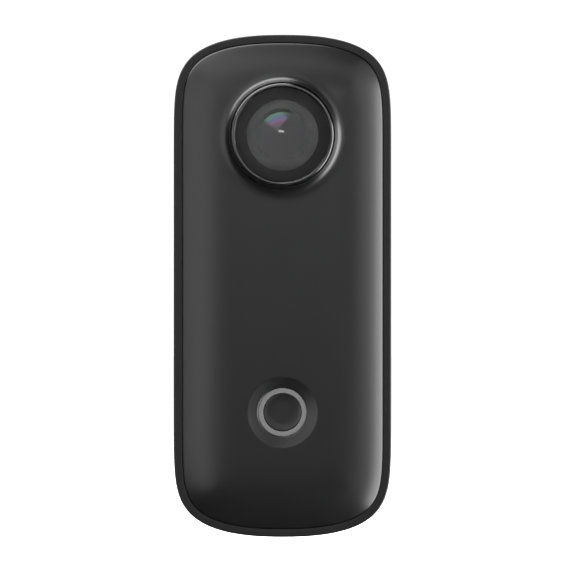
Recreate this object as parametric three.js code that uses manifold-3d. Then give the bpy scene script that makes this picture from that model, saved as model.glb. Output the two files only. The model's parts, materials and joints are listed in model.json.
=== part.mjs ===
// A thumb-sized action camera: a rounded upright body with a lens near the top of its front
// face and a record button with a light ring near the bottom. Millimetres.
//
// The camera is laid out on its back: x runs across it, y along its height with 0 at
// mid height, and z forward from the flat back face. The exported group turns it upright,
// so that +Z is up, the lens looks along -Y and the origin is the centre of the back face.
import * as THREE from "three";
import { mergeVertices } from "three/addons/utils/BufferGeometryUtils.js";
import Module from "manifold-3d";

const wasm = await Module();
wasm.setup();

// ---- Driving dimensions ----
const WIDTH = 26.6;
const HEIGHT = 61.4;
const DEPTH = 15.1; // back face to the front of the lens ring
const GAP = 0.05; // between pieces that rest on each other

// The outline's two ends are superellipses of this rise, joined by straight sides.
const END_RISE = 17.7;
const ACROSS_POWER = 2.37;
const ALONG_POWER = 6.5;
const SIDE_RISE = 0.4; // share of the rise over which the sides are still straight
const END_STEPS = 10; // chords in each quarter of the outline

// Depths, forward from the back face.
const FRAME_BACK = 1.6;
const FRAME_FRONT = 11.6;
const FACE = 13.1; // flat middle of the front cover
const BOARD_BACK = 5.2;
const BOARD_FRONT = 6.0;

const RIM = 1.0; // the frame's rim that shows round each cover
const COVER_INSET = RIM + GAP;
const FRAME_WALL = 1.9;
const COVER_WALL = 1.2;
const CROWN_WIDTH = 4.2; // how far in the front cover's curved margin reaches
const SEAT_DEPTH = 1.0; // how far each cover's skirt sits inside the frame
const GASKET = 0.3;
const COVER_CEILING = FACE - COVER_WALL;
const BACK_FLOOR = COVER_WALL;

// Places along the height.
const LENS_Y = 18.36;
const BUTTON_Y = -15.4;
const MODE_Y = 15.5;
const MAGNET_Y = 16.5;
const BATTERY_Y = [-8.8, 10.2];

// The lens group, as radii.
const COLLAR_FOOT = 8.2;
const COLLAR_CREST = 6.55;
const COLLAR_TOP = 14.6; // depth of the crest
const COLLAR_BORE = 6.32;
const TRIM_RADIUS = 6.25;
const WINDOW_RADIUS = 5.8;
const CLEAR_RADIUS = 4.36;
const SHELF_RADIUS = 5.35; // inner edge of the shelf that the window's gasket lies on
const BARREL_HEAD = SHELF_RADIUS - GAP;
const BARREL_THREAD = 4.6;
const BARREL_BORE = 4.15;
const BARREL_MOUTH = 3.2;
const FRONT_ELEMENT_RADIUS = 4.75;
const INNER_ELEMENT_RADIUS = BARREL_MOUTH - GAP;
const HOLDER_SIDE = 13;
const HOLDER_TUBE = 5.4;

// The record button, as radii.
const DISH_RADIUS = 4.3;
const DISH_DEPTH = 0.6;
const RING_OUTER = 2.96;
const RING_INNER = 2.35;
const RECORD_TRAVEL = 0.4;
const BUTTON_BOSS_X = 6; // screw bosses on both sides of the button

// The mode button on the side, and the port door in the bottom end.
const MODE_LENGTH = 7;
const MODE_HEIGHT = 2.6;
const MODE_Z = 8;
const MODE_TRAVEL = 0.3;
const DOOR_HALF = 6.7;
const DOOR_Z = [3.3, 9.95];
const DOOR_INNER = -29.5; // the door's inner face along the height
const USB_Z = 7.6;
const CARD_Z = 4.45;
const PORT_WALL = [-28.9, -27.9];
const SEAL_Z = 6.625;
const STRAP = { half: 2.5, z: [2.15, 4.6], inner: -30.15 }; // the door's rubber hinge strap
const OUTSIDE = -32; // a height below the body, where cuts start

// Screw bosses of the main board, and the screws' sizes.
const BOSS_X = 9.9;
const BOSS_Y = [22, -18.5];
const SCREW_RADIUS = 0.6;
const SCREW_HEAD_RADIUS = 1.2;
const SCREW_HEAD = 0.75;

const FINE = 36; // sides of a large round piece
const ROUND = 20;
const SMALL = 10;
const BUTTON_SIDES = 32;

// ---- Materials ----
function finish(color, roughness, metalness = 0) {
  return new THREE.MeshStandardMaterial({ color, roughness, metalness });
}
const shell = finish(0x343435, 0.42);
const frameFinish = finish(0x2c2c2d, 0.5);
const glossBlack = finish(0x0c0c0d, 0.15);
const capFinish = finish(0x2a2a2b, 0.45);
const rubber = finish(0x1a1a1b, 0.85);
const lightGuide = finish(0x9a9a9a, 0.4);
const glass = finish(0x4a4c50, 0.05);
const opticGlass = finish(0x5c6470, 0.03);
const inkBlack = finish(0x202020, 0.6);
const plasticBlack = finish(0x151515, 0.6);
const boardGreen = finish(0x10402a, 0.45);
const chipBlack = finish(0x1b1c1e, 0.5);
const steel = finish(0xb8babd, 0.3, 0.9);
const nickel = finish(0xc6c7c4, 0.2, 1);
const foil = finish(0xa9acb0, 0.35, 0.6);
const foam = finish(0x2b2b2d, 0.95);
const amberFilm = finish(0xa5662a, 0.4);
const ceramic = finish(0xd9d6cc, 0.5);
const redWire = finish(0xa02020, 0.5);
const whitePlastic = finish(0xd8d5ca, 0.5);
const ledWhite = finish(0xe8e4c8, 0.3);

// ---- Solids ----
function weld(geometry) {
  const bare = geometry.clone();
  bare.deleteAttribute("normal");
  bare.deleteAttribute("uv");
  return mergeVertices(bare, 1e-4);
}

// A three.js geometry as a manifold solid; solids pass through unchanged.
function solidOf(shape) {
  if (shape instanceof wasm.Manifold) return shape;
  const welded = weld(shape);
  return new wasm.Manifold(
    new wasm.Mesh({
      numProp: 3,
      vertProperties: welded.attributes.position.array,
      triVerts: new Uint32Array(welded.index.array),
    }),
  );
}

function geometryOf(shape) {
  if (shape instanceof THREE.BufferGeometry) return shape;
  const { vertProperties, triVerts } = shape.getMesh();
  return new THREE.BufferGeometry()
    .setAttribute("position", new THREE.BufferAttribute(new Float32Array(vertProperties), 3))
    .setIndex(new THREE.BufferAttribute(new Uint32Array(triVerts), 1));
}

const cut = (base, ...tools) =>
  tools.reduce((left, tool) => left.subtract(solidOf(tool)), solidOf(base));
const join = (base, ...more) =>
  more.reduce((sum, piece) => sum.add(solidOf(piece)), solidOf(base));
const overlap = (a, b) => solidOf(a).intersect(solidOf(b));

// The body's outline, moved inward by inset along its own normals.
function bodyOutline(inset) {
  const a = WIDTH / 2;
  const start = HEIGHT / 2 - END_RISE;
  const firstTurn = Math.asin(SIDE_RISE ** (ALONG_POWER / 2));
  const quarter = [];
  for (let i = 0; i <= END_STEPS; i++) {
    const t = firstTurn + (i / END_STEPS) * (Math.PI / 2 - firstTurn);
    const u = i === 0 ? 1 : Math.max(Math.cos(t), 0) ** (2 / ACROSS_POWER);
    const v = Math.sin(t) ** (2 / ALONG_POWER);
    const normal = new THREE.Vector2(
      (ACROSS_POWER * u ** (ACROSS_POWER - 1)) / a,
      (ALONG_POWER * v ** (ALONG_POWER - 1)) / END_RISE,
    ).normalize();
    quarter.push(new THREE.Vector2(a * u, start + END_RISE * v).addScaledVector(normal, -inset));
  }
  const flipped = (x, y) => quarter.map((p) => new THREE.Vector2(p.x * x, p.y * y));
  return new THREE.Shape([
    ...quarter,
    ...flipped(-1, 1).reverse().slice(1),
    ...flipped(-1, -1),
    ...flipped(1, -1).reverse().slice(1),
  ]);
}

function plate(inset, z0, z1) {
  return new THREE.ExtrudeGeometry(bodyOutline(inset), {
    depth: z1 - z0,
    bevelEnabled: false,
  }).translate(0, 0, z0);
}

// A plate whose front and back edges are rounded: width is measured inward, rise in depth.
function roundedPlate(inset, z0, z1, width, rise, segments) {
  return new THREE.ExtrudeGeometry(bodyOutline(inset), {
    depth: z1 - z0 - 2 * rise,
    bevelThickness: rise,
    bevelSize: width,
    bevelOffset: -width,
    bevelSegments: segments,
  }).translate(0, 0, z0 + rise);
}

// A box from its two corners.
function block([x0, y0, z0], [x1, y1, z1]) {
  return new THREE.BoxGeometry(x1 - x0, y1 - y0, z1 - z0).translate(
    (x0 + x1) / 2,
    (y0 + y1) / 2,
    (z0 + z1) / 2,
  );
}

// A solid of revolution about z from its profile of [radius, depth] corners.
function turned(profile, segments) {
  const points = profile.map(([r, z]) => new THREE.Vector2(r, z));
  if (profile[0][0] > 0) points.push(points[0].clone());
  if (THREE.ShapeUtils.area(points) < 0) points.reverse();
  return weld(new THREE.LatheGeometry(points, segments)).rotateX(Math.PI / 2);
}

const disc = (radius, z0, z1, segments) =>
  turned(
    [
      [0, z0],
      [radius, z0],
      [radius, z1],
      [0, z1],
    ],
    segments,
  );
const ring = (inner, outer, z0, z1, segments) =>
  turned(
    [
      [inner, z0],
      [outer, z0],
      [outer, z1],
      [inner, z1],
    ],
    segments,
  );

// A rounded rectangle of width by height about the origin.
function roundedRectangle(width, height, radius) {
  const x = width / 2 - radius;
  const y = height / 2 - radius;
  const shape = new THREE.Shape();
  shape.absarc(x, y, radius, 0, Math.PI / 2);
  shape.absarc(-x, y, radius, Math.PI / 2, Math.PI);
  shape.absarc(-x, -y, radius, Math.PI, Math.PI * 1.5);
  shape.absarc(x, -y, radius, Math.PI * 1.5, Math.PI * 2);
  return shape;
}

function prism(width, height, radius, length) {
  return new THREE.ExtrudeGeometry(roundedRectangle(width, height, radius), {
    depth: length,
    bevelEnabled: false,
    curveSegments: 5,
  });
}
const prismAlongZ = (width, height, radius, z0, z1) =>
  prism(width, height, radius, z1 - z0).translate(0, 0, z0);
const prismAlongY = (width, depth, radius, y0, y1, z) =>
  prism(width, depth, radius, y1 - y0).rotateX(-Math.PI / 2).translate(0, y0, z);
const prismAlongX = (length, depth, radius, x0, x1, y, z) =>
  prism(depth, length, radius, x1 - x0).rotateY(Math.PI / 2).translate(x0, y, z);

const camera = new THREE.Group();
camera.rotation.x = Math.PI / 2;

function part(name, shape, material, [x, y, z] = [0, 0, 0], group = camera) {
  const mesh = new THREE.Mesh(geometryOf(shape), material);
  mesh.name = name;
  mesh.position.set(x, y, z);
  group.add(mesh);
}

// ---- Housing ----
const frontLedge = FRAME_FRONT - SEAT_DEPTH;
const backLedge = FRAME_BACK + SEAT_DEPTH;
const bossPlaces = BOSS_Y.flatMap((y) => [
  [-BOSS_X, y],
  [BOSS_X, y],
]);

const strapBlock = (gap) =>
  block(
    [-STRAP.half - gap, OUTSIDE, STRAP.z[0] - gap],
    [STRAP.half + gap, STRAP.inner + gap, STRAP.z[1] + gap],
  );

// What the bottom end has cut into it, from outside to inside: the door's opening, the recess
// for its seal, the two sockets' slots, and the seat of the door's strap.
function portCuts() {
  const [back, front] = DOOR_Z;
  const clear = 0.08;
  const swing = 0.1; // extra room in front of the door's free edge, which sweeps an arc
  const opening = prismAlongY(
    2 * (DOOR_HALF + clear),
    front - back + 2 * clear + swing,
    1.3,
    OUTSIDE,
    DOOR_INNER + GAP,
    (back + front + swing) / 2,
  );
  const through = [PORT_WALL[0] - 0.1, PORT_WALL[1] + 0.1];
  return [
    opening,
    prismAlongY(12.2, 5.95, 1, DOOR_INNER - 0.2, PORT_WALL[0], SEAL_Z + 0.05),
    prismAlongY(9.1, 3.36, 1.67, ...through, USB_Z),
    prismAlongY(11.6, 1.1, 0.3, ...through, CARD_Z),
    strapBlock(GAP),
  ];
}

// A disc on the microphone's axis, which runs up through the top end.
const SOUND_X = 4;
const SOUND_Z = 6.6;
const soundDisc = (radius, y0, y1) =>
  disc(radius, y0, y1, SMALL).rotateX(-Math.PI / 2).translate(SOUND_X, 0, SOUND_Z);

function midFrame() {
  const body = cut(
    roundedPlate(0, FRAME_BACK, FRAME_FRONT, 0.4, 0.4, 2),
    plate(FRAME_WALL, 0, DEPTH),
    plate(RIM, frontLedge, DEPTH),
    plate(RIM, 0, backLedge),
  );
  const bosses = bossPlaces.map(([x, y]) =>
    disc(1.6, BOARD_FRONT + GAP, 9.8, SMALL).translate(x, y, 0),
  );
  const portWall = block([-7.6, -29.2, 3], [7.6, PORT_WALL[1], 10.2]);
  const bores = bossPlaces.map(([x, y]) =>
    disc(SCREW_RADIUS + 0.05, BOARD_FRONT - 1, 9.2, SMALL).translate(x, y, 0),
  );
  const modeHole = prismAlongX(
    MODE_LENGTH + 0.16,
    MODE_HEIGHT + 0.16,
    MODE_HEIGHT / 2 + 0.08,
    10,
    WIDTH / 2 + 1,
    MODE_Y,
    MODE_Z,
  );
  const soundHole = soundDisc(0.5, 27, 32);
  const meshSeat = soundDisc(1.3, 27, 29.3);
  const cuts = [...bores, ...portCuts(), modeHole, soundHole, meshSeat];
  return cut(join(body, ...bosses, portWall), ...cuts);
}

// Quarter-ellipse flare from the flat face up to the crest that the lens ring sits in.
function lensCollar() {
  const steps = 6;
  const profile = [];
  for (let i = 0; i <= steps; i++) {
    const t = (i / steps) * (Math.PI / 2) * 0.93;
    profile.push([
      COLLAR_FOOT - (COLLAR_FOOT - COLLAR_CREST) * Math.sin(t),
      FACE - 0.02 + (COLLAR_TOP - FACE) * (1 - Math.cos(t)),
    ]);
  }
  profile.push([COLLAR_CREST - 0.05, COLLAR_TOP], [COLLAR_BORE, COLLAR_TOP]);
  profile.push([COLLAR_BORE, COVER_CEILING], [COLLAR_FOOT, COVER_CEILING]);
  return turned(profile, FINE).translate(0, LENS_Y, 0);
}

function frontCover() {
  const crownRise = FACE - FRAME_FRONT;
  const dome = cut(
    roundedPlate(COVER_INSET, FRAME_FRONT - 2 * crownRise, FACE, CROWN_WIDTH, crownRise, 4),
    block([-WIDTH, -HEIGHT, -5], [WIDTH, HEIGHT, frontLedge + GASKET]),
    plate(COVER_INSET + COVER_WALL, 0, COVER_CEILING),
    disc(COLLAR_BORE + 0.4, 0, DEPTH, FINE).translate(0, LENS_Y, 0),
  );
  const boss = (x) => disc(1.5, 9.05, COVER_CEILING + 0.3, SMALL).translate(x, BUTTON_Y, 0);
  const pilot = (x) => disc(0.55, 8, 11, SMALL).translate(x, BUTTON_Y, 0);
  const bowl = DISH_RADIUS ** 2 / (2 * DISH_DEPTH) + DISH_DEPTH / 2; // radius of the dish's sphere
  const dishProfile = [[0, FACE - DISH_DEPTH]];
  const steps = 5;
  for (let i = 1; i <= steps; i++) {
    const r = (DISH_RADIUS * i) / steps;
    dishProfile.push([r, FACE - DISH_DEPTH + bowl - Math.sqrt(bowl ** 2 - r ** 2)]);
  }
  dishProfile.push([DISH_RADIUS, FACE + 1], [0, FACE + 1]);
  return cut(
    join(dome, lensCollar(), boss(-BUTTON_BOSS_X), boss(BUTTON_BOSS_X)),
    turned(dishProfile, BUTTON_SIDES).translate(0, BUTTON_Y, 0),
    disc(RING_OUTER + 0.04, 5, FACE + 1, BUTTON_SIDES).translate(0, BUTTON_Y, 0),
    pilot(-BUTTON_BOSS_X),
    pilot(BUTTON_BOSS_X),
  );
}

function rearCover() {
  const crown = cut(
    roundedPlate(COVER_INSET, 0, 2 * FRAME_BACK + 1, 3, FRAME_BACK, 4),
    block([-WIDTH, -HEIGHT, backLedge - GASKET], [WIDTH, HEIGHT, DEPTH]),
    plate(COVER_INSET + COVER_WALL, BACK_FLOOR, DEPTH),
  );
  const pocket = (y) => ring(5.05, 5.7, BACK_FLOOR - 0.1, 2.9, ROUND).translate(0, y, 0);
  return join(crown, pocket(MAGNET_Y), pocket(-MAGNET_Y));
}

function coverGasket(z0, z1) {
  return cut(plate(COVER_INSET, z0, z1), plate(FRAME_WALL - GAP, z0 - 1, z1 + 1));
}

part("mid_frame", midFrame(), frameFinish);
part("front_cover", frontCover(), shell);
part("rear_cover", rearCover(), shell);
part("front_gasket", coverGasket(frontLedge + 0.02, frontLedge + GASKET - 0.02), rubber);
part("rear_gasket", coverGasket(backLedge - GASKET + 0.02, backLedge - 0.02), rubber);
part("upper_magnet", disc(5, BACK_FLOOR + 0.02, 3.2, ROUND), nickel, [0, MAGNET_Y, 0]);
part("lower_magnet", disc(5, BACK_FLOOR + 0.02, 3.2, ROUND), nickel, [0, -MAGNET_Y, 0]);

// ---- Lens group, about the lens axis ----
const lensGroup = new THREE.Group();
lensGroup.position.y = LENS_Y;
camera.add(lensGroup);

const WINDOW_SEAT = 13.68;
const WINDOW_DEPTHS = [14.1, 14.8];
const TRIM_FOOT = 11;
const TRIM_FLANGE = 7.1;
const trimRing = turned(
  [
    [SHELF_RADIUS, TRIM_FOOT],
    [TRIM_FLANGE, TRIM_FOOT],
    [TRIM_FLANGE, COVER_CEILING - GAP],
    [TRIM_RADIUS, COVER_CEILING - GAP],
    [TRIM_RADIUS, DEPTH - 0.25],
    [TRIM_RADIUS - 0.12, DEPTH],
    [WINDOW_RADIUS + 0.15, DEPTH],
    [WINDOW_RADIUS + GAP, DEPTH - 0.2],
    [WINDOW_RADIUS + GAP, WINDOW_SEAT],
    [SHELF_RADIUS, WINDOW_SEAT],
  ],
  FINE,
);

// A lens with convex faces: the edge spans z0 to z1, and each face rises by its own bulge.
function lensElement(radius, z0, z1, backBulge, frontBulge) {
  const steps = 4;
  const back = [];
  const front = [];
  for (let i = 0; i <= steps; i++) {
    const t = i / steps;
    back.push([radius * t, z0 - backBulge * (1 - t * t)]);
    front.push([radius * (1 - t), z1 + frontBulge * (1 - (1 - t) ** 2)]);
  }
  return turned([...back, ...front], ROUND);
}

// The barrel screws into its holder. Its wider head carries the front element.
const BARREL_BACK = 7.7;
const BARREL_FRONT = 13.3;
const HEAD_BACK = 10.8;
const SPACER_SEAT = 10.3;
const FRONT_SEAT = 11.05;

function lensBarrel() {
  return turned(
    [
      [BARREL_MOUTH, BARREL_BACK],
      [BARREL_THREAD, BARREL_BACK],
      [BARREL_THREAD, HEAD_BACK],
      [BARREL_HEAD, HEAD_BACK],
      [BARREL_HEAD, BARREL_FRONT],
      [FRONT_ELEMENT_RADIUS + GAP, BARREL_FRONT],
      [FRONT_ELEMENT_RADIUS + GAP, FRONT_SEAT],
      [BARREL_BORE, FRONT_SEAT],
      [BARREL_BORE, SPACER_SEAT],
      [BARREL_MOUTH, SPACER_SEAT],
    ],
    ROUND,
  );
}

// Holds the front element in by its edge, out of sight behind the window's mask.
function retainingRing() {
  const inner = CLEAR_RADIUS + GAP;
  const back = 11.8;
  return turned(
    [
      [inner, back],
      [FRONT_ELEMENT_RADIUS, back],
      [FRONT_ELEMENT_RADIUS, BARREL_FRONT - GAP],
      [inner + 0.15, BARREL_FRONT - GAP],
    ],
    ROUND,
  );
}

const HOLDER_SCREW = HOLDER_SIDE / 2 - 1;
function lensHolder() {
  const base = prismAlongZ(HOLDER_SIDE, HOLDER_SIDE, 1, BOARD_FRONT + GAP, 8);
  const tube = disc(HOLDER_TUBE, 7.9, HEAD_BACK - 0.2, ROUND);
  const screwBore = (side) =>
    disc(SCREW_RADIUS, 5, 7.7, SMALL).translate(side * HOLDER_SCREW, -side * HOLDER_SCREW, 0);
  return cut(
    join(base, tube),
    block([-4.7, -4.7, 5], [4.7, 4.7, 7.6]),
    disc(BARREL_THREAD + GAP, 7, 11, ROUND),
    screwBore(1),
    screwBore(-1),
  );
}

const lensPart = (name, shape, material, place = [0, 0, 0]) =>
  part(name, shape, material, place, lensGroup);

lensPart("lens_trim_ring", trimRing, glossBlack);
lensPart("lens_window", disc(WINDOW_RADIUS, ...WINDOW_DEPTHS, FINE), glass);
lensPart("window_mask", ring(CLEAR_RADIUS, WINDOW_RADIUS, 13.98, 14.08, FINE), inkBlack);
lensPart("window_gasket", ring(SHELF_RADIUS + GAP, WINDOW_RADIUS, 13.7, 13.95, ROUND), rubber);
lensPart("lens_barrel", lensBarrel(), plasticBlack);
lensPart("lens_retaining_ring", retainingRing(), plasticBlack);
lensPart(
  "front_lens_element",
  lensElement(FRONT_ELEMENT_RADIUS, FRONT_SEAT + GAP, FRONT_SEAT + 0.35, -0.1, 1.5),
  opticGlass,
);
lensPart(
  "lens_spacer",
  ring(3.3, BARREL_BORE - GAP, SPACER_SEAT + GAP, FRONT_SEAT, ROUND),
  plasticBlack,
);
lensPart(
  "middle_lens_element",
  lensElement(INNER_ELEMENT_RADIUS, 9.5, 9.8, 0.1, 0.5),
  opticGlass,
);
lensPart(
  "rear_lens_element",
  lensElement(INNER_ELEMENT_RADIUS, 8.35, 8.8, 0.3, 0.4),
  opticGlass,
);
lensPart("lens_holder", lensHolder(), plasticBlack);
lensPart("infrared_filter", block([-4.6, -4.6, 7.25], [4.6, 4.6, 7.55]), glass);
lensPart("image_sensor", block([-4, -4, BOARD_FRONT + GAP], [4, 4, 7.05]), chipBlack);

// A pan-head screw that points forward, with its head just behind depth z.
function panScrew(z, length) {
  return turned(
    [
      [0, z - SCREW_HEAD],
      [SCREW_HEAD_RADIUS * 0.75, z - SCREW_HEAD],
      [SCREW_HEAD_RADIUS, z - SCREW_HEAD * 0.6],
      [SCREW_HEAD_RADIUS, z],
      [SCREW_RADIUS - 0.08, z],
      [SCREW_RADIUS - 0.08, z + length - 0.3],
      [0, z + length],
    ],
    SMALL,
  );
}

for (const [side, name] of [
  [-1, "left"],
  [1, "right"],
]) {
  const place = [side * HOLDER_SCREW, -side * HOLDER_SCREW, 0];
  lensPart(`lens_holder_screw_${name}`, panScrew(BOARD_BACK - GAP, 2.4), steel, place);
}

// ---- Main board and what it carries ----
function mainBoard() {
  const outline = overlap(
    plate(FRAME_WALL + 0.4, BOARD_BACK, BOARD_FRONT),
    block([-WIDTH, PORT_WALL[1] + 0.3, 0], [WIDTH, HEIGHT, DEPTH]),
  );
  const holderHole = (side) =>
    disc(0.7, 4, 7, SMALL).translate(side * HOLDER_SCREW, LENS_Y - side * HOLDER_SCREW, 0);
  return cut(
    outline,
    ...bossPlaces.map(([x, y]) => disc(0.75, 4, 7, SMALL).translate(x, y, 0)),
    holderHole(1),
    holderHole(-1),
  );
}

function shieldCan() {
  return cut(
    block([-9.5, -2, 3.5], [2.2, 9.5, BOARD_BACK - GAP]),
    block([-9.3, -1.8, 3.7], [2, 9.3, 6]),
  );
}

function usbShell() {
  return cut(
    prismAlongY(8.94, 3.2, 1.58, -28.6, -21.3, USB_Z),
    prismAlongY(8.34, 2.6, 1.28, -29, -21, USB_Z),
  );
}

function usbTongue() {
  return join(
    prismAlongY(8.24, 2.5, 1.23, -22.9, -21.4, USB_Z),
    block([-3.35, -27.9, USB_Z - 0.35], [3.35, -22.8, USB_Z + 0.35]),
  );
}

// A thin steel cover, bent down along both sides of the card's path.
function cardShell() {
  return cut(
    block([-6.8, -27.6, 3.75], [6.8, -13.1, 4.7]),
    block([-6.5, -28, 4], [6.5, -13.4, 5]),
  );
}

part("main_board", mainBoard(), boardGreen);
bossPlaces.forEach(([x, y], i) =>
  part(`board_screw_${i + 1}`, panScrew(BOARD_BACK - GAP, 3.6), steel, [x, y, 0]),
);
part("processor", block([-8.6, -1.1, 4.05], [1.3, 8.6, BOARD_BACK - GAP]), chipBlack);
part("processor_shield", shieldCan(), steel);
part("memory_chip", block([-8.4, -11, 4.15], [0.6, -4, BOARD_BACK - GAP]), chipBlack);
part("buzzer", disc(3.9, 2.9, BOARD_BACK - GAP, ROUND), plasticBlack, [6.6, 4, 0]);
part("wifi_antenna", block([-8, 25.8, BOARD_FRONT + GAP], [-2, 27.4, 7.05]), ceramic);
part("microphone", block([2.1, 25.1, BOARD_FRONT + GAP], [5.9, 27.7, 7.05]), nickel);
part("microphone_mesh", soundDisc(1.2, 29.05, 29.25), steel);
part("usb_socket_shell", usbShell(), steel);
part("usb_socket_tongue", usbTongue(), plasticBlack);
part("card_socket_shell", cardShell(), steel);
part("card_socket_base", block([-6.8, -27.6, 4.75], [6.8, -13.1, BOARD_BACK - GAP]), plasticBlack);

// ---- Battery ----
const BATTERY_SIZE = [20, 5]; // across and in depth
const BATTERY_MIDDLE = 8.9;
const batteryPouch = prismAlongY(...BATTERY_SIZE, 1.2, ...BATTERY_Y, BATTERY_MIDDLE);

// An insulated wire from the battery's lower end down to its connector on the board.
function batteryLead(x) {
  const route = new THREE.CatmullRomCurve3([
    new THREE.Vector3(x, BATTERY_Y[0] - GAP, 9.2),
    new THREE.Vector3(x, -9.5, 9.1),
    new THREE.Vector3(x, -9.9, 8.3),
    new THREE.Vector3(x, -10.1, 7.4),
    new THREE.Vector3(x, -10.75, 7),
  ]);
  const section = new THREE.Shape().absarc(0, 0, 0.35, 0, Math.PI * 2);
  return new THREE.ExtrudeGeometry(section, { steps: 6, curveSegments: 6, extrudePath: route });
}

part("battery", batteryPouch, foil);
part("battery_pad", block([-8, -7, 11.45], [8, 8.4, COVER_CEILING - GAP]), foam);
part("battery_lead_positive", batteryLead(6.4), redWire);
part("battery_lead_negative", batteryLead(8), plasticBlack);
part("battery_connector", block([4.7, -13.9, BOARD_FRONT + GAP], [9.7, -10.9, 7.9]), whitePlastic);

// ---- Record button, about its own axis ----
const buttonGroup = new THREE.Group();
buttonGroup.position.y = BUTTON_Y;
camera.add(buttonGroup);

const FLANGE_TOP = COVER_CEILING - GAP;
const RING_FOOT = 11.5;
const RING_TOP = FACE - DISH_DEPTH + 0.2;
const CAP_FOOT = 10.9;
const ringProfile = [
  [RING_INNER, RING_FOOT],
  [3.8, RING_FOOT],
  [3.8, FLANGE_TOP],
  [RING_OUTER, FLANGE_TOP],
  [RING_OUTER, RING_TOP],
  [RING_INNER, RING_TOP],
];
const capProfile = [
  [0, CAP_FOOT],
  [3.3, CAP_FOOT],
  [3.3, RING_FOOT - 0.08],
  [RING_INNER - 0.07, RING_FOOT - 0.08],
  [RING_INNER - 0.07, RING_TOP - 0.05],
  [RING_INNER - 0.17, RING_TOP],
  [0, RING_TOP - 0.06],
];
const SWITCH_FOOT = 9.05;
const SWITCH_TOP = 10.2;

// A square tact switch with a well that its plunger sinks into.
function recordSwitch() {
  return cut(
    prismAlongZ(4.4, 4.4, 0.5, SWITCH_FOOT, SWITCH_TOP),
    disc(1, CAP_FOOT - GAP - 0.8 - RECORD_TRAVEL - 0.05, SWITCH_TOP + 1, SMALL),
  );
}

function buttonBoard() {
  return cut(
    prismAlongZ(15.4, 8.2, 1.5, 8.35, 9),
    disc(0.65, 8, 10, SMALL).translate(-BUTTON_BOSS_X, 0, 0),
    disc(0.65, 8, 10, SMALL).translate(BUTTON_BOSS_X, 0, 0),
  );
}

// A ribbon folded once, from the button board's underside back to the main board.
function boardFlex() {
  const bend = new THREE.Vector2(3.8, 7.175);
  const outer = 1.075;
  const inner = 0.925;
  const tail = -0.6;
  const shape = new THREE.Shape();
  shape.moveTo(tail, bend.y - outer);
  shape.absarc(bend.x, bend.y, outer, -Math.PI / 2, Math.PI / 2);
  shape.lineTo(tail, bend.y + outer);
  shape.lineTo(tail, bend.y + inner);
  shape.absarc(bend.x, bend.y, inner, Math.PI / 2, -Math.PI / 2, true);
  shape.lineTo(tail, bend.y - inner);
  // The profile is drawn in height and depth, then swept across the camera.
  return new THREE.ExtrudeGeometry(shape, { depth: 5, bevelEnabled: false, curveSegments: 8 })
    .translate(0, 0, -2.5)
    .applyMatrix4(new THREE.Matrix4().set(0, 0, 1, 0, 1, 0, 0, 0, 0, 1, 0, 0, 0, 0, 0, 1));
}

const buttonPart = (name, shape, material, place = [0, 0, 0]) =>
  part(name, shape, material, place, buttonGroup);

const PLUNGER_TOP = CAP_FOOT - GAP;
const PLUNGER_LENGTH = 0.8;
const recordPlunger = disc(0.8, PLUNGER_TOP - PLUNGER_LENGTH, PLUNGER_TOP, SMALL);

buttonPart("record_button", turned(capProfile, BUTTON_SIDES), capFinish);
buttonPart("button_light_ring", turned(ringProfile, BUTTON_SIDES), lightGuide);
buttonPart("light_ring_gasket", ring(3.85, 4.4, RING_FOOT, FLANGE_TOP, ROUND), rubber);
buttonPart("record_switch", recordSwitch(), plasticBlack);
buttonPart("record_switch_plunger", recordPlunger, whitePlastic);
buttonPart("button_board", buttonBoard(), boardGreen);
buttonPart("button_board_flex", boardFlex(), amberFilm);
for (const [side, name] of [
  [-1, "left"],
  [1, "right"],
]) {
  const led = block([-0.8, -0.5, SWITCH_FOOT], [0.8, 0.5, 9.7]);
  buttonPart(`ring_led_${name}`, led, ledWhite, [side * 3.5, 0, 0]);
  buttonPart(`button_board_screw_${name}`, panScrew(8.3, 2.4), steel, [side * BUTTON_BOSS_X, 0, 0]);
}

// ---- Mode button on the side ----
const MODE_FLANGE = [10.8, 11.3];
const MODE_PLUNGER = [10.15, MODE_FLANGE[0] - GAP];

function modeButton() {
  const capEnd = WIDTH / 2 - 0.08;
  const [flangeBack, flangeFront] = MODE_FLANGE;
  const cap = [MODE_LENGTH, MODE_HEIGHT, MODE_HEIGHT / 2];
  const flange = [MODE_LENGTH + 1.2, MODE_HEIGHT + 0.8, 1];
  return join(
    prismAlongX(...cap, flangeBack + 0.1, capEnd, MODE_Y, MODE_Z),
    prismAlongX(...flange, flangeBack, flangeFront, MODE_Y, MODE_Z),
  );
}

function modeSwitch() {
  return cut(
    block([7.6, MODE_Y - 2.4, BOARD_FRONT + GAP], [10.3, MODE_Y + 2.4, 9.4]),
    prismAlongX(1.6, 1.6, 0.79, MODE_PLUNGER[0] - MODE_TRAVEL - 0.05, 11, MODE_Y, MODE_Z),
  );
}

const modePlunger = prismAlongX(1.2, 1.2, 0.59, ...MODE_PLUNGER, MODE_Y, MODE_Z);

part("mode_button", modeButton(), capFinish);
part("mode_switch", modeSwitch(), plasticBlack);
part("mode_switch_plunger", modePlunger, whitePlastic);

// ---- Port door in the bottom end ----
// The door turns on a rubber strap that lies flush in the outer surface, glued into a seat
// in the frame at one end and in the door at the other.
function portDoor() {
  const [back, front] = DOOR_Z;
  const middle = (back + front) / 2;
  const panel = prismAlongY(2 * DOOR_HALF, front - back, 1.2, OUTSIDE, DOOR_INNER, middle);
  return cut(overlap(plate(0, 0, DEPTH), panel), strapBlock(GAP));
}

function doorSeal() {
  return prismAlongY(12, 5.65, 0.9, DOOR_INNER + 0.02, PORT_WALL[0] - GAP, SEAL_Z);
}

part("port_door", portDoor(), rubber);
part("port_door_seal", doorSeal(), rubber);
part("port_door_strap", overlap(plate(0, 0, DEPTH), strapBlock(0)), rubber);

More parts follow.
